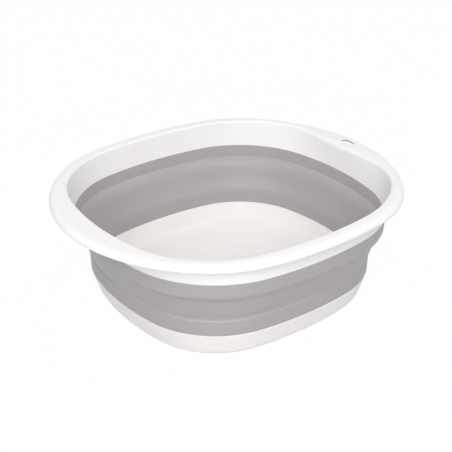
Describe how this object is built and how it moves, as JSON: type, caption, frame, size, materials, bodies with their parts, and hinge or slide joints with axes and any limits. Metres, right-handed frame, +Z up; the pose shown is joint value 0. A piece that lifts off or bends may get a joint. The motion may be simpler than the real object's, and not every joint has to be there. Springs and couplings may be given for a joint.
{
  "type": "collapsible washbasin",
  "caption": "Collapsible camp washbasin: white rim with hand flanges and a hanging slot, grey rubber band that folds flat, white base tray",
  "frame": {"origin": "Centre of the underside, on the plane of the foot ring", "axes": "+Z up through the rim, +Y towards the flange with the hanging slot, X across the narrower width"},
  "size_m": [0.35, 0.3964, 0.132],
  "materials": {
    "white_plastic": "satin",
    "grey_rubber": "matte"
  },
  "bodies": {
    "base": {"base_tray": "white_plastic", "lower_band_strip": "grey_rubber"},
    "rim": {"rim_frame": "white_plastic", "upper_band_strip": "grey_rubber"},
    "fold": {"fold_panel": "grey_rubber"}
  },
  "joints": [
    {"name": "rim_collapse", "type": "slide", "parent": "base", "child": "rim", "axis": [0, 0, 1], "range_m": [-0.0694, 0]},
    {"name": "fold_turnover", "type": "slide", "parent": "base", "child": "fold", "axis": [0, 0, 1], "range_m": [-0.0347, 0], "deforming": ["fold_panel"]}
  ],
  "couplings": [
    {"joint": "fold_turnover", "follows": "rim_collapse", "ratio": 0.5}
  ]
}
